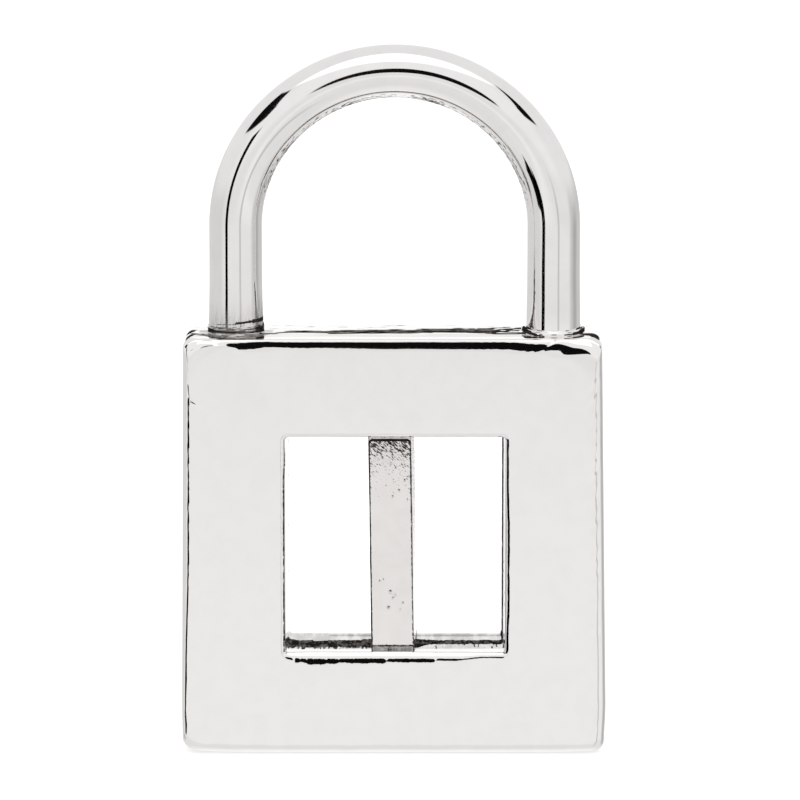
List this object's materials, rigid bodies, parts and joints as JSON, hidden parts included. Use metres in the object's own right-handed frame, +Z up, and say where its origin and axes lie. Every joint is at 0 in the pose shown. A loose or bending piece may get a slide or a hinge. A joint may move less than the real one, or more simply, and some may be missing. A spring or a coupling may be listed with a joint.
{
  "type": "padlock pendant",
  "caption": "Small square padlock pendant in silver: a flat square body with a window and an upright bar in it, under a round wire shackle.",
  "frame": {"origin": "at the base, in the middle of the pendant's width and thickness", "axes": "+Z up from the base to the shackle, +X to the right seen from the front, the front face towards -Y"},
  "size_m": [0.019, 0.0042, 0.0322],
  "materials": {
    "polished_silver": "hand-polished silver with faint hairline scratches and soft edges",
    "cast_silver": "as-cast silver, lightly polished, pitted and dark in the corners",
    "shackle_silver": "polished silver wire with faint drawing lines along it"
  },
  "bodies": {
    "root": {"lock_body": "polished_silver", "window_bar": "cast_silver", "shackle": "shackle_silver"}
  },
  "joints": []
}
